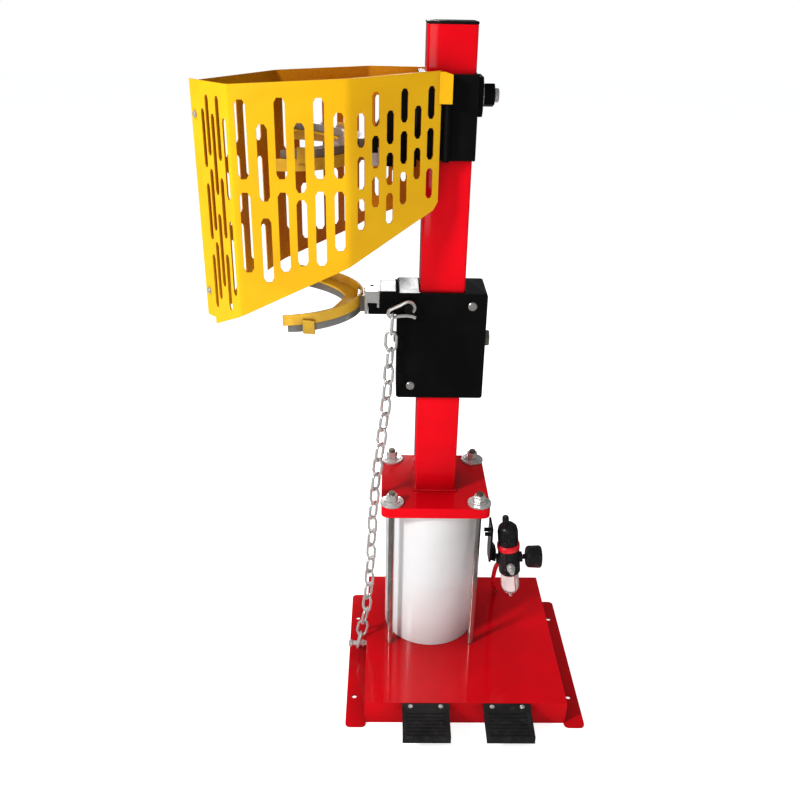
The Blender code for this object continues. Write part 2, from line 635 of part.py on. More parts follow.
bolt = add_object("clamp_bolt", lathe_mesh("clamp_bolt", [
    (0.0, -0.0520), (0.0110, -0.0520), (0.0110, 0.0805), (0.0095, 0.0820), (0.0, 0.0820)],
    (0, 0, CLAMP_Z), "X", 20), "zinc")
add_object("clamp_washer", lathe_mesh("clamp_washer", [
    (0.0113, 0.0533), (0.0195, 0.0533), (0.0195, 0.0563), (0.0113, 0.0563)],
    (0, 0, CLAMP_Z), "X", 24, ring=True), "zinc")
nut = add_object("clamp_nut", hexagon("clamp_nut", 0.0335, 0.0566, 0.0745, (0, 0, CLAMP_Z),
                                      "X", 0.25), "black")
cut(nut, cylinder_mesh("bore", 0.0113, 0.04, (0.05, 0, CLAMP_Z), "X", 20))

# Deep gusset arm, tapering to the tongue that carries the inverted claw bracket.
UP_Z = UPPER_RING_Z
arm_outline = [(SLEEVE_X0 - GAP, UP_Z - 0.0436), (-0.1110, UP_Z - 0.0436),
               (-0.1110, UP_Z - 0.0215), (-0.1325, UP_Z - 0.0215), (-0.1325, UP_Z),
               (-0.1250, UP_Z + 0.0080), (-0.0760, 1.1640), (SLEEVE_X0 - GAP, 1.1640)]
up_arm = add_object("upper_arm", prism_mesh("upper_arm", arm_outline, -0.0350, 0.0350, "XZ"),
                    "black")
bevel(up_arm, 0.0010, 1)
claw_bracket("upper_bracket", -1, UP_Z)
claw("upper", UPPER_RING_Z, -1, UPPER_RISE, UPPER_BEND)

# ---------------------------------------------------------------- limit chain
LINK_PITCH = 0.0336
LINK_W = 0.0250
WIRE = 0.0028
HANG_TURN = 40.0                 # degrees that the free links hang round from the end ones
END_LINKS = 3                    # links over which that turn builds up at each end


def link_mesh(middle, along, across, length):
    """Oval link: two straight sides joined by half rounds."""
    path = []
    half = (LINK_W - 2 * WIRE) / 2
    straight = length / 2 - WIRE - half * math.sin(math.radians(60))
    for end, base in ((1, 0), (-1, 180)):
        for i in range(4):
            angle = math.radians(base + 180 * i / 3)
            path.append(middle + along * (end * straight + half * math.sin(angle))
                        + across * (half * math.cos(angle)))
    return tube_mesh("link", path, WIRE, 5, closed=True, side=along.cross(across).normalized())


CHAIN_POINTS = [Vector(p) for p in (
    (-0.0885, -0.0572, 0.7697), (-0.0925, -0.0580, 0.685), (-0.0975, -0.0590, 0.604),
    (-0.1065, -0.0600, 0.520), (-0.1165, -0.0610, 0.4315), (-0.1225, -0.0620, 0.339),
    (-0.1260, -0.0630, 0.242), (-0.1325, -0.0640, 0.140), (-0.1400, -0.0650, 0.087),
    (-0.1530, -0.0660, 0.0232))]


def chain_walk():
    """Equal steps along the hanging line, from the hook to the stub."""
    fine = []
    for a, b in zip(CHAIN_POINTS, CHAIN_POINTS[1:]):
        for i in range(600):
            fine.append(a.lerp(b, i / 600))
    fine.append(CHAIN_POINTS[-1])
    total = sum((b - a).length for a, b in zip(fine, fine[1:]))
    count = 2 * round((total / LINK_PITCH - 1) / 2) + 1
    step = total / count
    marks = [fine[0]]
    walked = 0.0
    for a, b in zip(fine, fine[1:]):
        walked += (b - a).length
        if walked >= step * len(marks) - 1e-9:
            marks.append(b)
    if len(marks) <= count:
        marks.append(fine[-1])
    return marks[:count + 1], step


marks, pitch = chain_walk()
even_links = []
odd_links = []
for i, (a, b) in enumerate(zip(marks, marks[1:])):
    along = (b - a).normalized()
    from_end = min(i, len(marks) - 2 - i, END_LINKS)
    turned = math.radians(HANG_TURN * from_end / END_LINKS + 90 * (i % 2))
    twist = Vector((math.sin(turned), math.cos(turned), 0))
    across = (twist - twist.dot(along) * along).normalized()
    link = link_mesh((a + b) / 2, along, across, pitch + 4 * WIRE - 0.0020)
    (even_links if i % 2 == 0 else odd_links).append(link)
chain = add_object("limit_chain", join_meshes("limit_chain", even_links), "zinc")
unite(chain, join_meshes("odd_links", odd_links))

# ---------------------------------------------------------------- guard cage


def offset_outline(points, thickness):
    """Closed band of sheet inside an open polyline, mitred at the bends."""
    inner_points = []
    count = len(points)
    for i in range(count):
        here = Vector(points[i])
        before = Vector(points[i - 1]) if i else None
        after = Vector(points[i + 1]) if i + 1 < count else None
        dirs = []
        if before is not None:
            dirs.append((here - before).normalized())
        if after is not None:
            dirs.append((after - here).normalized())
        normals = [Vector((-d.y, d.x)) for d in dirs]
        middle = sum(normals, Vector((0, 0))).normalized()
        inner_points.append(here + middle * thickness / middle.dot(normals[0]))
    return [tuple(p) for p in points] + [tuple(p) for p in reversed(inner_points)]


def softened(points, radius, steps=2):
    """Rounds each inner corner of an open polyline."""
    result = [points[0]]
    for i in range(1, len(points) - 1):
        here = Vector(points[i])
        to_before = (Vector(points[i - 1]) - here).normalized()
        to_after = (Vector(points[i + 1]) - here).normalized()
        a = here + to_before * radius
        b = here + to_after * radius
        for k in range(steps + 1):
            t = k / steps
            spot = a * (1 - t) ** 2 + here * (2 * t * (1 - t)) + b * t * t
            result.append(tuple(spot))
    result.append(points[-1])
    return result


def slot_cutter(corner_a, corner_b, along, low, high, width):
    """Upright slot with round ends, cut square through the panel from a to b."""
    a = Vector((*corner_a, 0))
    b = Vector((*corner_b, 0))
    direction = (b - a).normalized()
    normal = Vector((-direction.y, direction.x, 0))
    half = width / 2
    outline = []
    for level, sign in ((high - half, 1), (low + half, -1)):
        for i in range(4):
            angle = math.radians(60 * i)
            outline.append((sign * half * math.cos(angle), level + sign * half * math.sin(angle)))
    bm = bmesh.new()
    rings = []
    for depth in (-0.012, 0.012):
        rings.append([bm.verts.new(a + direction * (along + s) + normal * depth
                                   + Vector((0, 0, z))) for s, z in outline])
    for i in range(len(outline)):
        j = (i + 1) % len(outline)
        bm.faces.new((rings[0][i], rings[0][j], rings[1][j], rings[1][i]))
    bm.faces.new(rings[0])
    bm.faces.new(rings[1])
    return mesh_from(bm, "slot")


# Distance from each panel's left bend, then the heights of its slots.
FRONT_SLOTS = [
    (0.0185, (1.024, 1.142), (0.877, 1.006)), (0.0490, (0.990, 1.107), (0.860, 0.966)),
    (0.0765, (1.024, 1.145), (0.877, 1.006)), (0.1050, (1.003, 1.109), (0.886, 0.994)),
    (0.1345, (1.024, 1.145), (0.886, 1.007)), (0.1645, (1.025, 1.124), (0.910, 1.007))]
END_SLOTS = [
    (0.0220, (1.070, 1.122), (1.006, 1.058), (0.942, 0.993)),
    (0.0475, (1.100, 1.152), (1.037, 1.088), (0.976, 1.025)),
    (0.0735, (1.072, 1.124), (1.009, 1.061), (0.947, 0.998)),
    (0.0985, (1.103, 1.155), (1.040, 1.092), (0.976, 1.029)),
    (0.1235, (1.077, 1.129), (1.014, 1.065)),
    (0.1475, (1.106, 1.157), (1.043, 1.094), (0.981, 1.031))]
TIP_SLOTS = [
    (0.0980, (1.027, 1.119), (0.909, 1.003), (0.790, 0.885)),
    (0.0790, (1.048, 1.141), (0.928, 1.029), (0.810, 0.910)),
    (0.0590, (0.990, 1.115), (0.838, 0.961)),
    (0.0385, (1.046, 1.143), (0.924, 1.021), (0.802, 0.899)),
    (0.0150, (0.990, 1.113), (0.834, 0.957))]


def rim_z(x, side):
    return 1.1580 + 0.0500 * (x + 0.420) - (0.0035 if side > 0 else 0.0)


def guard_half(name, seam, left, right, end, side):
    """One bent sheet of the cage: tip, long and end panels with their slots."""
    plan = softened([seam, left, right, end], 0.006)
    if side > 0:
        plan = [(x, -y) for x, y in plan]
    band = offset_outline(plan, GUARD_T)
    if side > 0:
        band = [(x, -y) for x, y in band]
    sheet = add_object(name, prism_mesh(name, band, 0.70, 1.25), "yellow")
    # The rim climbs a little towards the column. The lower edge falls towards the tip.
    top_tool = [(-0.50, rim_z(-0.50, side)), (0.05, rim_z(0.05, side)), (0.05, 1.40),
                (-0.50, 1.40)]
    low_tool = [(0.05, 0.9793), (-0.0135, 0.9793), (-0.0240, 0.9610), (-0.1600, 0.8834),
                (-0.3380, 0.8025), (-0.3980, 0.7560), (-0.3980, 0.7680), (-0.50, 0.7460),
                (-0.50, 0.60), (0.05, 0.60)]
    combine(sheet, prism_mesh("above", top_tool, -0.4, 0.4, "XZ"), "DIFFERENCE")
    combine(sheet, prism_mesh("beneath", low_tool, -0.4, 0.4, "XZ"), "DIFFERENCE")
    tools = []
    scale = (Vector(right) - Vector(left)).length / 0.1786
    for along, *spans in FRONT_SLOTS:
        for low, high in spans:
            tools.append(slot_cutter(left, right, along * scale, low, high, 0.0160))
    scale = (Vector(end) - Vector(right)).length / 0.1653
    for along, *spans in END_SLOTS:
        for low, high in spans:
            if side > 0 and along > 0.11:
                continue
            tools.append(slot_cutter(right, end, along * scale, low, high, 0.0132))
    scale = (Vector(seam) - Vector(left)).length / 0.1455
    for along, *spans in TIP_SLOTS:
        for low, high in spans:
            tools.append(slot_cutter(left, seam, along * scale, low, high, 0.0130))
    cut(sheet, *tools)
    return sheet


guard_front = guard_half("guard_front", SEAM, FRONT_L, FRONT_R, FRONT_END, -1)
rear_seam = (SEAM[0] + 0.0004, SEAM[1] + 0.0032)
guard_rear = guard_half("guard_rear", rear_seam, REAR_L, REAR_R, REAR_END, 1)

# Tab at the top of the door, over the hinge tube, with a clipped corner.
tab = prism_mesh("tab", [(-0.0200, 1.1285), (0.0012, 1.1285), (0.0012, 1.1725),
                         (-0.0120, 1.1765), (-0.0200, 1.1765)], -0.0703, -0.0678, "XZ")
unite(guard_front, tab)
screw_dir = (Vector(FRONT_L) - Vector(SEAM)).normalized()
screw_out = Vector((screw_dir.y, -screw_dir.x))
if screw_out.x > 0:
    screw_out = -screw_out
screw_spots = []
for key, z in (("upper", 1.1060), ("lower", 0.8120)):
    spot = Vector(SEAM) + screw_dir * 0.0150
    screw_spots.append((key, Vector((spot.x, spot.y, z))))
holes = []
for key, spot in screw_spots:
    hole = cylinder_mesh("hole", 0.0028, 0.03, (0, 0, -0.015), sides=10)
    aim = Vector((screw_out.x, screw_out.y, 0)).to_track_quat("Z", "Y").to_matrix().to_4x4()
    hole.transform(Matrix.Translation(spot) @ aim)
    holes.append(hole)
    screw = lathe_mesh("latch_screw_" + key, [
        (0.0, -0.0080), (0.0025, -0.0080), (0.0025, 0.0003), (0.0060, 0.0004),
        (0.0056, 0.0022), (0.0035, 0.0034), (0.0, 0.0037)], (0, 0, 0), "Z", 14)
    screw.transform(Matrix.Translation(spot) @ aim)
    add_object("latch_screw_" + key, screw, "zinc")
cut(guard_front, *holes)
set_origin(guard_front, (HINGE_X, HINGE_Y, 0.0))
for key, spot in screw_spots:
    set_origin(bpy.data.objects["latch_screw_" + key], (HINGE_X, HINGE_Y, 0.0))

hinge = add_object("guard_hinge", cylinder_mesh("guard_hinge", 0.0062, SLEEVE_Z1 - SLEEVE_Z0,
                                                (HINGE_X, HINGE_Y, SLEEVE_Z0), sides=18),
                   "black")

# ---------------------------------------------------------------- filter-regulator
frl_place = (Matrix.Translation(FRL_AT) @ Matrix.Rotation(FRL_LEAN, 4, "Y"))


def on_frl(name, mesh, look):
    mesh.transform(frl_place)
    return add_object(name, mesh, look)


frl_bracket = add_object("frl_bracket", prism_mesh("frl_bracket", [
    (-0.112, 0.354), (-0.068, 0.354), (-0.068, 0.288), (-0.076, 0.272), (-0.104, 0.272),
    (-0.112, 0.288)], 0.1080, 0.1120, "YZ"), "black")
unite(frl_bracket, prism_mesh("reach", [(0.1113, 0.2740), (0.1222, 0.2700), (0.1222, 0.2960),
                                        (0.1113, 0.3120)], -0.100, -0.080, "XZ"))
for y in (-0.098, -0.082):
    unite(frl_bracket, cylinder_mesh("bolt", 0.0040, -0.012, (0.1098, y, 0.334), "X", 10))

body = on_frl("frl_body", lathe_mesh("frl_body", [
    (0.0, -0.0230), (0.0170, -0.0230), (0.0215, -0.0190), (0.0215, 0.0330),
    (0.0190, 0.0350), (0.0, 0.0350)], (0, 0, 0), "Z", 20), "black")
port = cylinder_mesh("port", 0.0105, 0.052, (-0.026, 0, 0.011), "X", 16)
port.transform(frl_place)
unite(body, port)
on_frl("frl_ring", lathe_mesh("frl_ring", [
    (0.0, 0.0353), (0.0222, 0.0353), (0.0226, 0.0370), (0.0226, 0.0450), (0.0205, 0.0470),
    (0.0, 0.0470)], (0, 0, 0), "Z", 18), "red")
knob = on_frl("frl_knob", lathe_mesh("frl_knob", [
    (0.0, 0.0473), (0.0192, 0.0473), (0.0196, 0.0490), (0.0196, 0.0790), (0.0182, 0.0850),
    (0.0140, 0.0895), (0.0080, 0.0915), (0.0, 0.0920)], (0, 0, 0), "Z", 18), "black")
post = lathe_mesh("post", [(0.0, 0.0780), (0.0066, 0.0780), (0.0066, 0.1070), (0.0050, 0.1100),
                           (0.0, 0.1100)], (-0.0030, 0, 0), "Z", 14)
post.transform(frl_place)
unite(knob, post)
set_origin(knob, FRL_AT)
on_frl("frl_bowl", lathe_mesh("frl_bowl", [
    (0.0, -0.0840), (0.0030, -0.0840), (0.0032, -0.0760), (0.0080, -0.0735),
    (0.0150, -0.0670), (0.0182, -0.0570), (0.0182, -0.0235), (0.0, -0.0235)],
    (0, 0, 0), "Z", 18), "bowl")
# The gauge hangs upright on the right-hand port.
add_object("frl_gauge", lathe_mesh("frl_gauge", [
    (0.0, 0.0263), (0.0050, 0.0263), (0.0050, 0.0310), (0.0180, 0.0325), (0.0215, 0.0360),
    (0.0225, 0.0590), (0.0205, 0.0620), (0.0, 0.0620)],
    (FRL_AT[0], FRL_AT[1], FRL_AT[2] + 0.0138), "X", 18), "black")
on_frl("frl_fitting", lathe_mesh("frl_fitting", [
    (0.0, 0.0), (0.0045, 0.0), (0.0045, 0.0050), (0.0080, 0.0055), (0.0080, 0.0125),
    (0.0060, 0.0130), (0.0060, 0.0200), (0.0045, 0.0205), (0.0045, 0.0260), (0.0, 0.0260)],
    (0.0, -0.0218, 0.0080), "Y", 12), "zinc")
bpy.data.objects["frl_fitting"].data.transform(
    Matrix.Translation((0, 2 * (-0.0218 + FRL_AT[1]), 0)) @ Matrix.Diagonal((1, -1, 1, 1)))
bpy.data.objects["frl_fitting"].data.flip_normals()

hose_points = [(0.1330, -0.0600, 0.2340), (0.1330, -0.0450, 0.2180), (0.1350, -0.0200, 0.1900),
               (0.1400, 0.0250, 0.1350), (0.1480, 0.0650, 0.0850), (0.1540, 0.0830, 0.0600),
               (0.1543, 0.0841, 0.0440)]
add_object("air_hose", tube_mesh("air_hose", hose_points, 0.0048, 10,
                                 side=Vector((1, 0.2, 0))), "red")

# ---------------------------------------------------------------- frame
for obj in list(PARTS.objects) + list(CUTTERS.objects):
    obj.location += COLUMN_AXIS
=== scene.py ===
import json
import math

import bmesh
import bpy
from mathutils import Matrix, Vector


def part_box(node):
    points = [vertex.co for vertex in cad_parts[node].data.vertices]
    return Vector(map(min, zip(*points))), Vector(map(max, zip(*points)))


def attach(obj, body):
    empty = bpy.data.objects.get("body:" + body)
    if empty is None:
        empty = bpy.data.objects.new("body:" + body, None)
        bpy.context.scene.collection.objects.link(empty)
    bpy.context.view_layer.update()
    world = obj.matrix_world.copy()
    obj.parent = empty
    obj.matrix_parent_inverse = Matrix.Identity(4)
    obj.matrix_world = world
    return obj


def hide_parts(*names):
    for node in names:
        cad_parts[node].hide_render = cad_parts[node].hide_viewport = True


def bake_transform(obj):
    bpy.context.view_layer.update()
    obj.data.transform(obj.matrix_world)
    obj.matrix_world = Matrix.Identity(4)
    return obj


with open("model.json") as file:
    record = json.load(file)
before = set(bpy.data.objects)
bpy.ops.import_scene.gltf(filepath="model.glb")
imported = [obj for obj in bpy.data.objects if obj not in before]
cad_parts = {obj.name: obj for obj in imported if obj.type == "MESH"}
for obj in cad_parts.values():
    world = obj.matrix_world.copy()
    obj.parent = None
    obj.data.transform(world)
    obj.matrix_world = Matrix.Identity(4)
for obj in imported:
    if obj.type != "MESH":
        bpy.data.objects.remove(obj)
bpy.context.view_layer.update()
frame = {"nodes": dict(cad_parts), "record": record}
SCENE = bpy.context.scene
NODES = frame["nodes"]
low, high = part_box("column")
COLUMN = Vector(((low.x + high.x) / 2, (low.y + high.y) / 2, 0.0))   # places count from here

WELD_DISTANCE = 0.00001             # vertices nearer than this are one vertex
HARD_EDGE = math.radians(32)        # sharper edges of the CAD pieces stay hard
DETAIL_HARD_EDGE = math.radians(35)
QUARTER_TURN = math.radians(90)
PLAIN_WHITE = (1.0, 1.0, 1.0, 1.0)


# ------------------------------------------------------------------ node helpers
class Mat:
    """Small builder round one Principled material."""

    def __init__(self, name, **constant):
        self.mat = bpy.data.materials.new(name)
        self.mat.use_nodes = True
        self.tree = self.mat.node_tree
        self.bsdf = self.tree.nodes["Principled BSDF"]
        self.coord = self.tree.nodes.new("ShaderNodeTexCoord")
        for key, value in constant.items():
            self.bsdf.inputs[key.replace("_", " ")].default_value = value

    def new(self, kind):
        return self.tree.nodes.new(kind)

    def link(self, a, b):
        self.tree.links.new(a, b)

    def place(self, scale, turn=(0, 0, 0)):
        node = self.new("ShaderNodeMapping")
        node.inputs["Scale"].default_value = scale
        node.inputs["Rotation"].default_value = turn
        self.link(self.coord.outputs["Object"], node.inputs["Vector"])
        return node.outputs["Vector"]

    def noise(self, scale, detail=3.0, rough=0.55, vector=None, distortion=0.0):
        node = self.new("ShaderNodeTexNoise")
        node.inputs["Scale"].default_value = scale
        node.inputs["Detail"].default_value = detail
        node.inputs["Roughness"].default_value = rough
        node.inputs["Distortion"].default_value = distortion
        self.link(vector or self.coord.outputs["Object"], node.inputs["Vector"])
        return node.outputs["Fac"]

    def span(self, value, low, high, to_low=0.0, to_high=1.0):
        node = self.new("ShaderNodeMapRange")
        node.inputs["From Min"].default_value = low
        node.inputs["From Max"].default_value = high
        node.inputs["To Min"].default_value = to_low
        node.inputs["To Max"].default_value = to_high
        self.link(value, node.inputs["Value"])
        return node.outputs["Result"]

    def math(self, operation, a, b):
        node = self.new("ShaderNodeMath")
        node.operation = operation
        node.use_clamp = True
        for socket, value in zip(node.inputs, (a, b)):
            if isinstance(value, (int, float)):
                socket.default_value = value
            else:
                self.link(value, socket)
        return node.outputs["Value"]

    def mix(self, factor, a, b):
        node = self.new("ShaderNodeMix")
        node.data_type = "RGBA"
        self.link(factor, node.inputs["Factor"])
        for socket, value in ((node.inputs[6], a), (node.inputs[7], b)):
            if isinstance(value, tuple):
                socket.default_value = (*value, 1.0)
            else:
                self.link(value, socket)
        return node.outputs[2]

    def height(self):
        node = self.new("ShaderNodeSeparateXYZ")
        self.link(self.coord.outputs["Object"], node.inputs["Vector"])
        return node.outputs["Z"]

    def edges(self, radius):
        """1 on sharp edges, 0 on flats, with a mottled border."""
        soft = self.new("ShaderNodeBevel")
        soft.samples = 4
        soft.inputs["Radius"].default_value = radius
        flat = self.new("ShaderNodeNewGeometry")
        dot = self.new("ShaderNodeVectorMath")
        dot.operation = "DOT_PRODUCT"
        self.link(soft.outputs["Normal"], dot.inputs[0])
        self.link(flat.outputs["Normal"], dot.inputs[1])
        mask = self.span(dot.outputs["Value"], 0.80, 0.985, 1.0, 0.0)
        broken = self.span(self.noise(140.0, 4.0, 0.7), 0.38, 0.66)
        return self.math("MULTIPLY", mask, broken)

    def with_painted_shade(self, colour, shade, reach, amount, span):
        """The colour, darkened towards the shade colour in corners and inside hollows: painted
        shade, laid on by an occlusion node.
        """
        if shade is None:
            return colour
        node = self.new("ShaderNodeAmbientOcclusion")
        node.samples = 6
        node.inputs["Distance"].default_value = reach
        painted_shade_mask = self.span(node.outputs["AO"], *span, 1.0, 0.0)
        return self.mix(self.math("MULTIPLY", painted_shade_mask, amount), colour, shade)

    def bump(self, height, strength, distance, normal):
        node = self.new("ShaderNodeBump")
        node.inputs["Strength"].default_value = strength
        node.inputs["Distance"].default_value = distance
        self.link(height, node.inputs["Height"])
        self.link(normal, node.inputs["Normal"])
        return node.outputs["Normal"]

    def rounded(self, radius):
        node = self.new("ShaderNodeBevel")
        node.samples = 4
        node.inputs["Radius"].default_value = radius
        return node.outputs["Normal"]

    def set(self, key, value):
        self.link(value, self.bsdf.inputs[key])


def paint(name, base, deep, worn_and_highlight_colour, rough, coat, peel, edge_wear_and_highlight, specular,
          grime=(0.10, 0.07, 0.05), grime_top=0.10, grime_amount=0.35, round_edge=0.0010,
          shade=None, shade_reach=0.10, shade_amount=0.6, shade_span=(0.25, 0.95)):
    """Sprayed enamel: orange peel, faint clouding, rubbed edges that also carry a painted edge
    highlight, painted shade in hollows, dust and scuffs low down.
    """
    m = Mat(name, Coat_Weight=coat, Coat_Roughness=0.10, Specular_IOR_Level=specular)
    cloud = m.span(m.noise(7.0, 3.0, 0.6), 0.35, 0.68)
    colour = m.mix(cloud, base, deep)
    speck = m.span(m.noise(420.0, 2.0, 0.5), 0.66, 0.78, 0.0, 0.35)
    colour = m.mix(speck, colour, deep)
    long_scratch = m.noise(60.0, 5.0, 0.75, m.place((1.0, 0.18, 2.4), (0.2, 0.5, 0.3)), 0.6)
    scratch = m.span(long_scratch, 0.735, 0.765, 0.0, 0.40)
    colour = m.mix(scratch, colour, worn_and_highlight_colour)
    low = m.span(m.height(), 0.0, grime_top, 1.0, 0.0)
    patches = m.span(m.noise(26.0, 6.0, 0.72), 0.42, 0.75, 0.0, grime_amount)
    dirt = m.math("MULTIPLY", low, patches)
    colour = m.mix(dirt, colour, grime)
    colour = m.with_painted_shade(colour, shade, shade_reach, shade_amount, shade_span)
    # Edges mixed towards the worn colour: partly rubbed paint, partly a painted edge highlight
    # where that colour is lighter.
    rubbed_and_highlit_edge = m.math("MULTIPLY", m.edges(0.0011), edge_wear_and_highlight)
    colour = m.mix(rubbed_and_highlit_edge, colour, worn_and_highlight_colour)
    m.set("Base Color", colour)
    gloss = m.span(m.noise(16.0, 5.0, 0.65), 0.30, 0.72, rough[0], rough[1])
    gloss = m.math("ADD", gloss, m.math("MULTIPLY", scratch, 0.30))
    gloss = m.math("ADD", gloss, m.math("MULTIPLY", dirt, 0.45))
    m.set("Roughness", gloss)
    skin = m.bump(m.noise(520.0, 2.0, 0.5), peel, 0.00006, m.rounded(round_edge))
    m.set("Normal", m.bump(scratch, 0.15, 0.0001, skin))
    return m.mat


def metal(name, base, tint, rough, spots, spot_amount, grain_scale, grain=(1, 1, 1),
          grain_amount=0.35, metallic=1.0, shade=None, shade_reach=0.10, shade_amount=0.8,
          shade_span=(0.45, 0.97)):
    """Plated or machined metal: tool grain, passivation tints, a little tarnish, and painted
    shade in hollows where a shade colour is given.
    """
    m = Mat(name, Metallic=metallic)
    tone = m.span(m.noise(38.0, 4.0, 0.6), 0.32, 0.70)
    colour = m.mix(tone, base, tint)
    tarnish = m.span(m.noise(90.0, 6.0, 0.75), 0.60, 0.78, 0.0, spot_amount)
    colour = m.mix(tarnish, colour, spots)
    grains = m.noise(grain_scale, 3.0, 0.6, m.place(grain))
    colour = m.mix(m.span(grains, 0.35, 0.75, 0.0, 0.30), colour, spots)
    colour = m.with_painted_shade(colour, shade, shade_reach, shade_amount, shade_span)
    m.set("Base Color", colour)
    gloss = m.span(grains, 0.30, 0.72, rough[0], rough[1])
    m.set("Roughness", m.math("ADD", gloss, m.math("MULTIPLY", tarnish, 0.5)))
    m.set("Normal", m.bump(grains, grain_amount, 0.00005, m.rounded(0.0007)))
    return m.mat


def plastic(name, base, deep, rough, grain=900.0, grain_amount=0.2,
            dust=(0.25, 0.24, 0.22), dust_amount=0.12, shade=None, shade_reach=0.10,
            shade_amount=0.8, shade_span=(0.45, 0.97), **constant):
    """Moulded plastic or rubber with a fine texture and handling marks, and painted shade in
    hollows where a shade colour is given.
    """
    m = Mat(name, **constant)
    cloud = m.span(m.noise(30.0, 4.0, 0.6), 0.34, 0.68)
    colour = m.mix(cloud, base, deep)
    dusty = m.span(m.noise(70.0, 6.0, 0.75), 0.52, 0.80, 0.0, dust_amount)
    colour = m.mix(dusty, colour, dust)
    colour = m.with_painted_shade(colour, shade, shade_reach, shade_amount, shade_span)
    colour = m.mix(m.math("MULTIPLY", m.edges(0.0009), 0.25), colour, dust)
    m.set("Base Color", colour)
    gloss = m.span(m.noise(45.0, 4.0, 0.6), 0.30, 0.70, rough[0], rough[1])
    m.set("Roughness", m.math("ADD", gloss, dusty))
    m.set("Normal", m.bump(m.noise(grain, 2.0, 0.5), grain_amount, 0.00008, m.rounded(0.0008)))
    return m.mat


RED = (0.830, 0.0018, 0.0090)
RED_DEEP = (0.700, 0.0014, 0.0070)
# The shade colours below are painted shade, laid into corners and hollows; the yellow's darkens
# the inside of the guard.
LOOKS = {
    "red": paint("red_enamel", RED, RED_DEEP, (0.82, 0.10, 0.09), rough=(0.06, 0.11),
                 coat=0.06, peel=0.10, edge_wear_and_highlight=0.22, grime=(0.16, 0.02, 0.015), grime_top=0.12,
                 grime_amount=0.12, specular=0.24, shade=(0.18, 0.0012, 0.0025),
                 shade_reach=0.12, shade_amount=0.85),
    "black": paint("black_enamel", (0.0028, 0.0028, 0.0029), (0.0052, 0.0052, 0.0055),
                   (0.16, 0.16, 0.16), rough=(0.15, 0.26), coat=0.04, peel=0.35, edge_wear_and_highlight=0.28,
                   specular=0.12),
    "yellow": paint("yellow_powder", (0.860, 0.475, 0.005), (0.800, 0.410, 0.0035),
                    (0.95, 0.68, 0.06), rough=(0.26, 0.40), coat=0.04, peel=0.35, edge_wear_and_highlight=0.25,
                    specular=0.12, grime=(0.45, 0.22, 0.02), grime_top=0.92, grime_amount=0.18,
                    round_edge=0.0008, shade=(0.34, 0.055, 0.001), shade_reach=0.30,
                    shade_amount=0.95, shade_span=(0.62, 0.97)),
    "liner": plastic("yellow_nylon", (0.860, 0.520, 0.010), (0.740, 0.380, 0.007),
                     rough=(0.36, 0.52), dust=(0.55, 0.42, 0.10), dust_amount=0.25,
                     shade=(0.32, 0.110, 0.003), shade_reach=0.09, shade_amount=0.9),
    "zinc": metal("zinc_plate", (0.92, 0.92, 0.90), (0.74, 0.74, 0.73), rough=(0.14, 0.30),
                  grain_scale=700.0, spots=(0.30, 0.24, 0.17), spot_amount=0.50, metallic=0.62),
    "bolt_end": metal("sooty_bolt_end", (0.22, 0.16, 0.12), (0.12, 0.09, 0.07), rough=(0.28, 0.5),
                      grain_scale=500.0, spots=(0.05, 0.035, 0.025), spot_amount=0.50,
                      metallic=0.8),
    "rod": metal("drawn_rod", (0.72, 0.70, 0.67), (0.46, 0.43, 0.39), rough=(0.10, 0.24),
                 grain=(1, 1, 0.05), grain_scale=600.0, spots=(0.16, 0.11, 0.08),
                 spot_amount=0.55, metallic=0.88),
    "steel": metal("turned_steel", (0.62, 0.63, 0.62), (0.46, 0.46, 0.45),
                   rough=(0.24, 0.42), grain=(1, 1, 7), grain_scale=380.0,
                   spots=(0.22, 0.17, 0.12), spot_amount=0.40, metallic=0.72,
                   shade=(0.20, 0.15, 0.07), shade_reach=0.12, shade_amount=0.8),
    "alu": metal("honed_barrel", (0.80, 0.80, 0.79), (0.72, 0.71, 0.69), rough=(0.14, 0.26),
                 grain=(1, 1, 0.04), grain_scale=900.0, grain_amount=0.20,
                 spots=(0.50, 0.44, 0.36), spot_amount=0.12),
    "barrel": paint("barrel_lacquer", (0.790, 0.800, 0.806), (0.740, 0.735, 0.728),
                    (0.62, 0.54, 0.44), rough=(0.16, 0.26), coat=0.35, peel=0.10, edge_wear_and_highlight=0.5,
                    grime=(0.42, 0.30, 0.20), grime_top=0.085, grime_amount=0.45,
                    specular=0.45),
    "rubber": plastic("pedal_rubber", (0.0080, 0.0080, 0.0085), (0.016, 0.016, 0.016),
                      rough=(0.36, 0.55), grain=1400.0, grain_amount=0.5,
                      dust=(0.12, 0.115, 0.11), dust_amount=0.30, Specular_IOR_Level=0.25),
    "black_plastic": plastic("black_nylon", (0.0075, 0.0075, 0.008), (0.014, 0.014, 0.015),
                             rough=(0.22, 0.36), grain=1100.0, grain_amount=0.25,
                             Specular_IOR_Level=0.25),
    "red_plastic": plastic("red_nylon", (0.78, 0.008, 0.020), (0.60, 0.005, 0.014),
                           rough=(0.18, 0.30), dust=(0.7, 0.2, 0.2), dust_amount=0.15),
    "bowl": plastic("smoked_bowl", (0.84, 0.70, 0.69), (0.70, 0.54, 0.53),
                    rough=(0.05, 0.12), grain_amount=0.05, dust_amount=0.10,
                    dust=(0.6, 0.5, 0.48), Transmission_Weight=0.78, IOR=1.50),
}

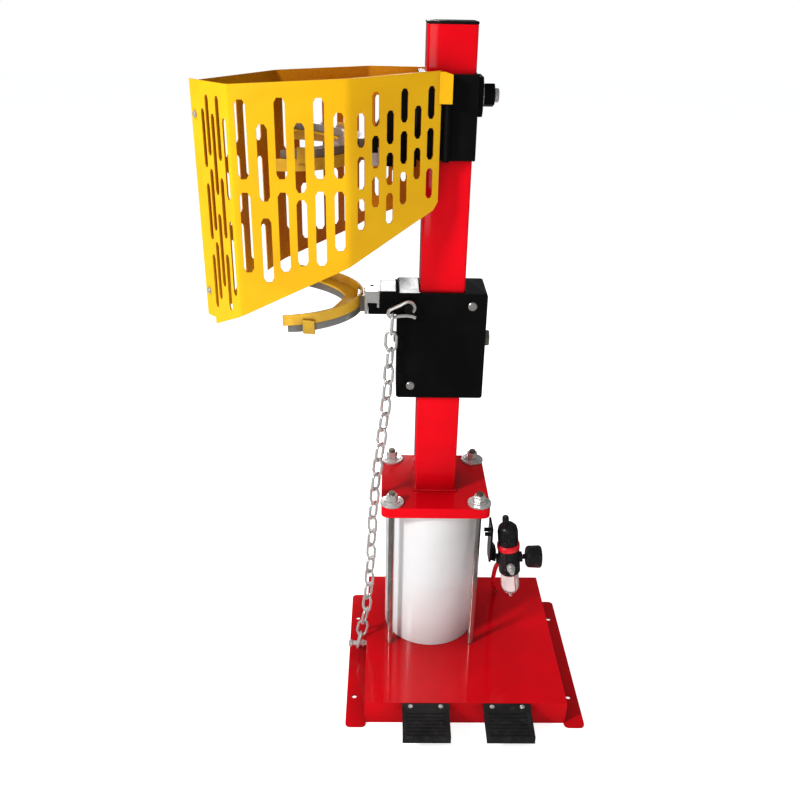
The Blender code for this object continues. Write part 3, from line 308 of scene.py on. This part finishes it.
BY_SLOT = {"red_paint": "red", "black_paint": "black", "black_plastic": "black_plastic",
           "rubber": "rubber", "yellow_paint": "yellow", "yellow_liner": "liner",
           "zinc": "zinc", "steel": "steel", "aluminium": "alu", "red_plastic": "red_plastic",
           "bowl": "bowl"}
CORNERS = ("fl", "fr", "bl", "br")
BY_NODE = {"barrel": "barrel", "hook_bolt": "black",
           **{"tie_rod_" + corner: "rod" for corner in CORNERS}}


def smooth(mesh):
    mesh.polygons.foreach_set("use_smooth", [True] * len(mesh.polygons))


def finish_surface(obj):
    """Smooth shading with hard edges kept, without touching the vertices."""
    mesh = obj.data
    if "custom_normal" in mesh.attributes:
        mesh.attributes.remove(mesh.attributes["custom_normal"])
    smooth(mesh)
    weld = obj.modifiers.new("weld", "WELD")
    weld.merge_threshold = WELD_DISTANCE
    split = obj.modifiers.new("split", "EDGE_SPLIT")
    split.split_angle = HARD_EDGE
    split.use_edge_sharp = False


def dress(obj, look):
    obj.data.materials.clear()
    obj.data.materials.append(LOOKS[look])


SLOTS = {row["node"]: row["material_slot"] for row in frame["record"]["subparts"]}
for node_name, node in NODES.items():
    finish_surface(node)
    dress(node, BY_NODE.get(node_name) or BY_SLOT[SLOTS[node_name]])

# ------------------------------------------------------------------ limit chain
# The chain's copy, welded and smooth shaded, stands in for the CAD chain, which is hidden.
source = NODES["limit_chain"]
links = bpy.data.objects.new("chain_links", source.data.copy())
SCENE.collection.objects.link(links)
bm = bmesh.new()
bm.from_mesh(links.data)
bmesh.ops.remove_doubles(bm, verts=bm.verts, dist=WELD_DISTANCE)
bm.to_mesh(links.data)
bm.free()
smooth(links.data)
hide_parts("limit_chain")
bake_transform(links)


# ------------------------------------------------------------------ added detail
def add_piece(name, bm, look, body):
    mesh = bpy.data.meshes.new(name)
    bm.to_mesh(mesh)
    bm.free()
    obj = bpy.data.objects.new(name, mesh)
    SCENE.collection.objects.link(obj)
    mesh.materials.append(LOOKS[look])
    smooth(mesh)
    split = obj.modifiers.new("split", "EDGE_SPLIT")
    split.split_angle = DETAIL_HARD_EDGE
    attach(obj, body)
    return obj


def block(bm, size, place):
    """A box of this size, centred on place."""
    made = bmesh.ops.create_cube(bm, size=1.0)
    bmesh.ops.transform(bm, matrix=place @ Matrix.Diagonal((*size, 1.0)), verts=made["verts"])


def lathe(bm, profile, place, sides):
    """A turned shape, closed at both ends, from (radius, height) points."""
    rows = []
    for radius, height in profile:
        count = 1 if radius < 1e-7 else sides
        row = []
        for i in range(count):
            angle = 2 * math.pi * i / count
            spot = Vector((radius * math.cos(angle), radius * math.sin(angle), height))
            row.append(bm.verts.new(place @ spot))
        rows.append(row)
    for low, high in zip(rows, rows[1:]):
        for i in range(sides):
            j = (i + 1) % sides
            corners = []
            for vert in (low[i % len(low)], low[j % len(low)], high[j % len(high)],
                         high[i % len(high)]):
                if vert not in corners:
                    corners.append(vert)
            if len(corners) > 2:
                bm.faces.new(corners)
    for row in (rows[0], rows[-1]):
        if len(row) > 1:
            bm.faces.new(row)
    bmesh.ops.recalc_face_normals(bm, faces=bm.faces)


RIPPLE_PITCH = 0.0032
RIPPLE_STRETCH = 1.25
RIPPLE_STEP = 12.9898               # spreads the ripple sizes, the same on each run
ARM_WELD_INSET = 0.0012             # from the arm's welded end


def bead(bm, start, stop, radius, seed):
    """A weld bead: overlapping ripples laid along a line."""
    start = Vector(start)
    stop = Vector(stop)
    count = max(3, int((stop - start).length / RIPPLE_PITCH))
    stretch = Matrix.Scale(RIPPLE_STRETCH, 4, (stop - start).normalized())
    for i in range(count + 1):
        wobble = math.sin(seed + i * RIPPLE_STEP) * 0.5 + 0.5
        spot = start.lerp(stop, i / count)
        size = radius * (0.86 + 0.26 * wobble)
        made = bmesh.ops.create_icosphere(bm, subdivisions=2, radius=size)
        bmesh.ops.transform(bm, matrix=Matrix.Translation(spot) @ stretch, verts=made["verts"])


# Weld beads round the column foot, at the arms and at the guard's hinge tube.
FOOT_WELD_OUT = 0.0405              # from the column axis, just outside its 80 mm faces
foot_weld_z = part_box("top_plate")[1].z + 0.0012
bm = bmesh.new()
for sx, sy, ex, ey in ((-1, -1, 1, -1), (1, -1, 1, 1), (1, 1, -1, 1), (-1, 1, -1, -1)):
    bead(bm, COLUMN + Vector((sx * FOOT_WELD_OUT, sy * FOOT_WELD_OUT, foot_weld_z)),
         COLUMN + Vector((ex * FOOT_WELD_OUT, ey * FOOT_WELD_OUT, foot_weld_z)), 0.0026,
         seed=sx + 2 * sy)
add_piece("weld_column_foot", bm, "red", "base")

low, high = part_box("lower_arm")
bm = bmesh.new()
weld_x = high.x - ARM_WELD_INSET
for y in (low.y, high.y):
    bead(bm, (weld_x, y, low.z + 0.002), (weld_x, y, high.z - 0.002), 0.0018, seed=y * 50)
bead(bm, (weld_x, low.y + 0.001, high.z), (weld_x, high.y - 0.001, high.z), 0.0017, seed=4.0)
add_piece("weld_lower_arm", bm, "black", "carriage")

low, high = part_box("upper_arm")
bm = bmesh.new()
weld_x = high.x - ARM_WELD_INSET
for y in (low.y, high.y):
    bead(bm, (weld_x, y, low.z + 0.006), (weld_x, y, high.z - 0.002), 0.0018, seed=y * 70)
add_piece("weld_upper_arm", bm, "black", "base")

low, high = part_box("guard_hinge")
bm = bmesh.new()
weld_x = high.x - 0.0028
weld_y = high.y - 0.0040
for start in (low.z + 0.012, low.z + 0.088):
    bead(bm, (weld_x, weld_y, start), (weld_x, weld_y, start + 0.030), 0.0017, seed=start * 9)
add_piece("weld_guard_hinge", bm, "black", "base")

# Rivets that hold the rubber tread to each pedal.
RIVET_OUT = 0.0290                  # from the middle of the pedal
RIVET_Y = COLUMN.y - 0.2655
RIVET = [(0.0, -0.001), (0.0046, -0.001), (0.0048, 0.0006), (0.0036, 0.0014),
         (0.0014, 0.0016), (0.0012, 0.0009), (0.0, 0.0008)]
for side in ("left", "right"):
    low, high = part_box("pedal_" + side)
    middle = (low.x + high.x) / 2
    bm = bmesh.new()
    for offset in (-RIVET_OUT, RIVET_OUT):
        place = Matrix.Translation((middle + offset, RIVET_Y, high.z - 0.0003))
        lathe(bm, RIVET, place, 20)
    add_piece("rivets_" + side, bm, "zinc", side + "_pedal")


# Screw threads on the tie rod ends, above their nuts, and on the clamp bolt.
RINGS_PER_TURN = 4
THREAD_DEPTH = 0.0006


def thread(bm, place, radius, length, pitch, sides):
    rings = max(2, int(length / pitch * RINGS_PER_TURN))
    rows = []
    for i in range(rings + 1):
        row = []
        for k in range(sides):
            angle = 2 * math.pi * k / sides
            phase = (i / RINGS_PER_TURN + k / sides) % 1.0
            depth = abs(phase - 0.5) * 2 * THREAD_DEPTH
            spot = Vector(((radius - depth) * math.cos(angle),
                           (radius - depth) * math.sin(angle), length * i / rings))
            row.append(bm.verts.new(place @ spot))
        rows.append(row)
    for one, two in zip(rows, rows[1:]):
        for k in range(sides):
            j = (k + 1) % sides
            bm.faces.new((one[k], one[j], two[j], two[k]))
    bm.faces.new(rows[0])
    bm.faces.new(rows[-1])
    bmesh.ops.recalc_face_normals(bm, faces=bm.faces)


bm = bmesh.new()
for corner in CORNERS:
    low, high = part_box("tie_rod_" + corner)
    nut_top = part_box("nut_" + corner)[1].z
    place = Matrix.Translation(((low.x + high.x) / 2, (low.y + high.y) / 2, nut_top))
    thread(bm, place, 0.0066, high.z - nut_top + 0.0002, 0.00175, 18)
add_piece("tie_rod_threads", bm, "bolt_end", "base")

low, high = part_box("clamp_bolt")
nut_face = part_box("clamp_nut")[1].x
bm = bmesh.new()
place = Matrix.Translation((nut_face, (low.y + high.y) / 2, (low.z + high.z) / 2))
thread(bm, place @ Matrix.Rotation(QUARTER_TURN, 4, "Y"), 0.0114, high.x - nut_face - 0.0012,
       0.0025, 24)
add_piece("clamp_bolt_thread", bm, "zinc", "base")

# Gauge: a white face with plain ticks, and a needle on its hub.
DIAL_TICKS = 21
DIAL_START = -135.0                 # degrees
DIAL_SWEEP = 270.0
LONG_TICK = (0.0034, 0.0007, 0.0003)
SHORT_TICK = (0.0020, 0.0004, 0.0003)
low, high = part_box("frl_gauge")
middle = Vector((high.x, (low.y + high.y) / 2, (low.z + high.z) / 2))
outward = Matrix.Translation(middle) @ Matrix.Rotation(QUARTER_TURN, 4, "Y")
dial = Mat("dial_white")
shade = dial.span(dial.noise(160.0, 3.0, 0.6), 0.3, 0.7)
dial.set("Base Color", dial.mix(shade, (0.84, 0.84, 0.82), (0.76, 0.76, 0.74)))
dial.set("Roughness", dial.span(dial.noise(300.0, 2.0, 0.5), 0.3, 0.7, 0.30, 0.42))
LOOKS["dial"] = dial.mat
bm = bmesh.new()
lathe(bm, [(0.0, 0.0001), (0.0172, 0.0001), (0.0176, 0.0004), (0.0172, 0.0007), (0.0, 0.0007)],
      outward, 32)
add_piece("gauge_dial", bm, "dial", "base")
bm = bmesh.new()
for i in range(DIAL_TICKS):
    angle = math.radians(DIAL_START + DIAL_SWEEP * i / (DIAL_TICKS - 1))
    size = LONG_TICK if i % 5 == 0 else SHORT_TICK
    turn = Matrix.Rotation(angle, 4, "Z") @ Matrix.Translation((0.0150 - size[0] / 2, 0, 0.0009))
    block(bm, size, outward @ turn)
made = bmesh.ops.create_cone(bm, cap_ends=True, segments=8, radius1=0.0007, radius2=0.0002,
                             depth=0.0140)
turn = Matrix.Rotation(math.radians(-40), 4, "Z") @ Matrix.Translation((0.0050, 0, 0.0012))
bmesh.ops.transform(bm, matrix=outward @ turn @ Matrix.Rotation(QUARTER_TURN, 4, "Y"),
                    verts=made["verts"])
lathe(bm, [(0.0, 0.0008), (0.0020, 0.0008), (0.0018, 0.0018), (0.0, 0.0020)], outward, 16)
add_piece("gauge_marks", bm, "black_plastic", "base")

# Grip flutes round the regulator knob.
REGULATOR = COLUMN + Vector((0.1515, -0.0900, 0.2620))
REGULATOR_LEAN = math.radians(-6.3)
FLUTES = 24
FLUTE = (0.0014, 0.0022, 0.0240)
tilt = Matrix.Translation(REGULATOR) @ Matrix.Rotation(REGULATOR_LEAN, 4, "Y")
bm = bmesh.new()
for i in range(FLUTES):
    angle = 2 * math.pi * i / FLUTES
    place = Matrix.Rotation(angle, 4, "Z") @ Matrix.Translation((0.0195, 0, 0.0640))
    block(bm, FLUTE, tilt @ place)
flutes = add_piece("knob_flutes", bm, "black_plastic", "regulator_knob")
soft = flutes.modifiers.new("soft", "BEVEL")
soft.width = 0.0004
soft.segments = 2

# ------------------------------------------------------------------ stage, light, camera
# The floor's glow and the ambient light add up to about white, to hide the horizon.
FLOOR_GLOW = 0.80
AMBIENT = 0.24
MIRRORED = 0.10                     # what shiny surfaces see of the world
FLOOR_HALF_SIZE = 14.0
FLOOR_DROP = 0.0004                 # keeps the floor clear of the base

floor_look = Mat("pale_floor")
shade = floor_look.span(floor_look.noise(3.0, 3.0, 0.5), 0.3, 0.7)
floor_look.set("Base Color", floor_look.mix(shade, (0.90, 0.90, 0.90), (0.88, 0.88, 0.88)))
floor_look.bsdf.inputs["Roughness"].default_value = 0.55
floor_look.bsdf.inputs["Specular IOR Level"].default_value = 0.1
floor_look.bsdf.inputs["Emission Color"].default_value = PLAIN_WHITE
floor_look.bsdf.inputs["Emission Strength"].default_value = FLOOR_GLOW
mesh = bpy.data.meshes.new("floor")
bm = bmesh.new()
bmesh.ops.create_grid(bm, x_segments=1, y_segments=1, size=FLOOR_HALF_SIZE)
bm.to_mesh(mesh)
bm.free()
floor = bpy.data.objects.new("floor", mesh)
floor.location = (0, 0, -FLOOR_DROP)
SCENE.collection.objects.link(floor)
mesh.materials.append(floor_look.mat)
floor.visible_glossy = False

world = bpy.data.worlds.new("studio")
SCENE.world = world
world.use_nodes = True
tree = world.node_tree


def glow(node, colour, strength):
    node.inputs["Color"].default_value = colour
    node.inputs["Strength"].default_value = strength
    return node.outputs[0]


def choose(ray, other, chosen):
    """The chosen background for this kind of ray, and the other one for the rest."""
    node = tree.nodes.new("ShaderNodeMixShader")
    tree.links.new(seen.outputs[ray], node.inputs["Fac"])
    tree.links.new(other, node.inputs[1])
    tree.links.new(chosen, node.inputs[2])
    return node.outputs[0]


backdrop = glow(tree.nodes["Background"], PLAIN_WHITE, 1.0)
ambient = glow(tree.nodes.new("ShaderNodeBackground"), (0.96, 0.98, 1.0, 1.0), AMBIENT)
mirrored = glow(tree.nodes.new("ShaderNodeBackground"), PLAIN_WHITE, MIRRORED)
seen = tree.nodes.new("ShaderNodeLightPath")
lighting = choose("Is Glossy Ray", ambient, mirrored)
tree.links.new(choose("Is Camera Ray", lighting, backdrop), tree.nodes["World Output"].inputs[0])


def area(name, spot, aim, size, watts, mirrored_too=True):
    """A soft light at spot, turned to aim, both counted from the column."""
    light = bpy.data.lights.new(name, "AREA")
    light.shape = "RECTANGLE"
    light.size, light.size_y = size
    light.energy = watts
    obj = bpy.data.objects.new(name, light)
    obj.location = COLUMN + Vector(spot)
    obj.rotation_euler = (Vector(aim) - Vector(spot)).to_track_quat("-Z", "Y").to_euler()
    obj.visible_camera = False
    obj.visible_glossy = mirrored_too
    SCENE.collection.objects.link(obj)


area("key", (-2.35, -1.75, 2.3), (-0.05, 0, 0.6), (0.50, 0.50), 88)
area("front_strip", (-0.55, -2.6, 1.0), (0.0, 0, 0.5), (0.35, 1.6), 4)
area("top", (0.1, 0.2, 3.0), (0, 0, 0.5), (1.6, 1.6), 10, False)
area("rear_card", (-0.16, 3.0, 1.80), (-0.12, 0, 0.81), (0.52, 0.28), 7)
area("back_fill", (1.2, 2.6, 1.8), (0.0, 0, 0.5), (1.4, 1.4), 8, False)

# Solved against the photo, from the column, the plates and the base.
CAMERA_LENS = 38.388
CAMERA_PLACE = (-0.100045, -1.486050, 1.289647)
CAMERA_TURN = (1.1229571, -0.0172629, -0.0109518)

camera = bpy.data.cameras.new("camera")
camera.lens = CAMERA_LENS
camera.sensor_width = 36.0
camera.clip_start = 0.05
camera.clip_end = 60.0
camera_object = bpy.data.objects.new("camera", camera)
camera_object.location = COLUMN + Vector(CAMERA_PLACE)
camera_object.rotation_euler = CAMERA_TURN
SCENE.collection.objects.link(camera_object)
SCENE.camera = camera_object
SCENE.view_settings.view_transform = "Standard"
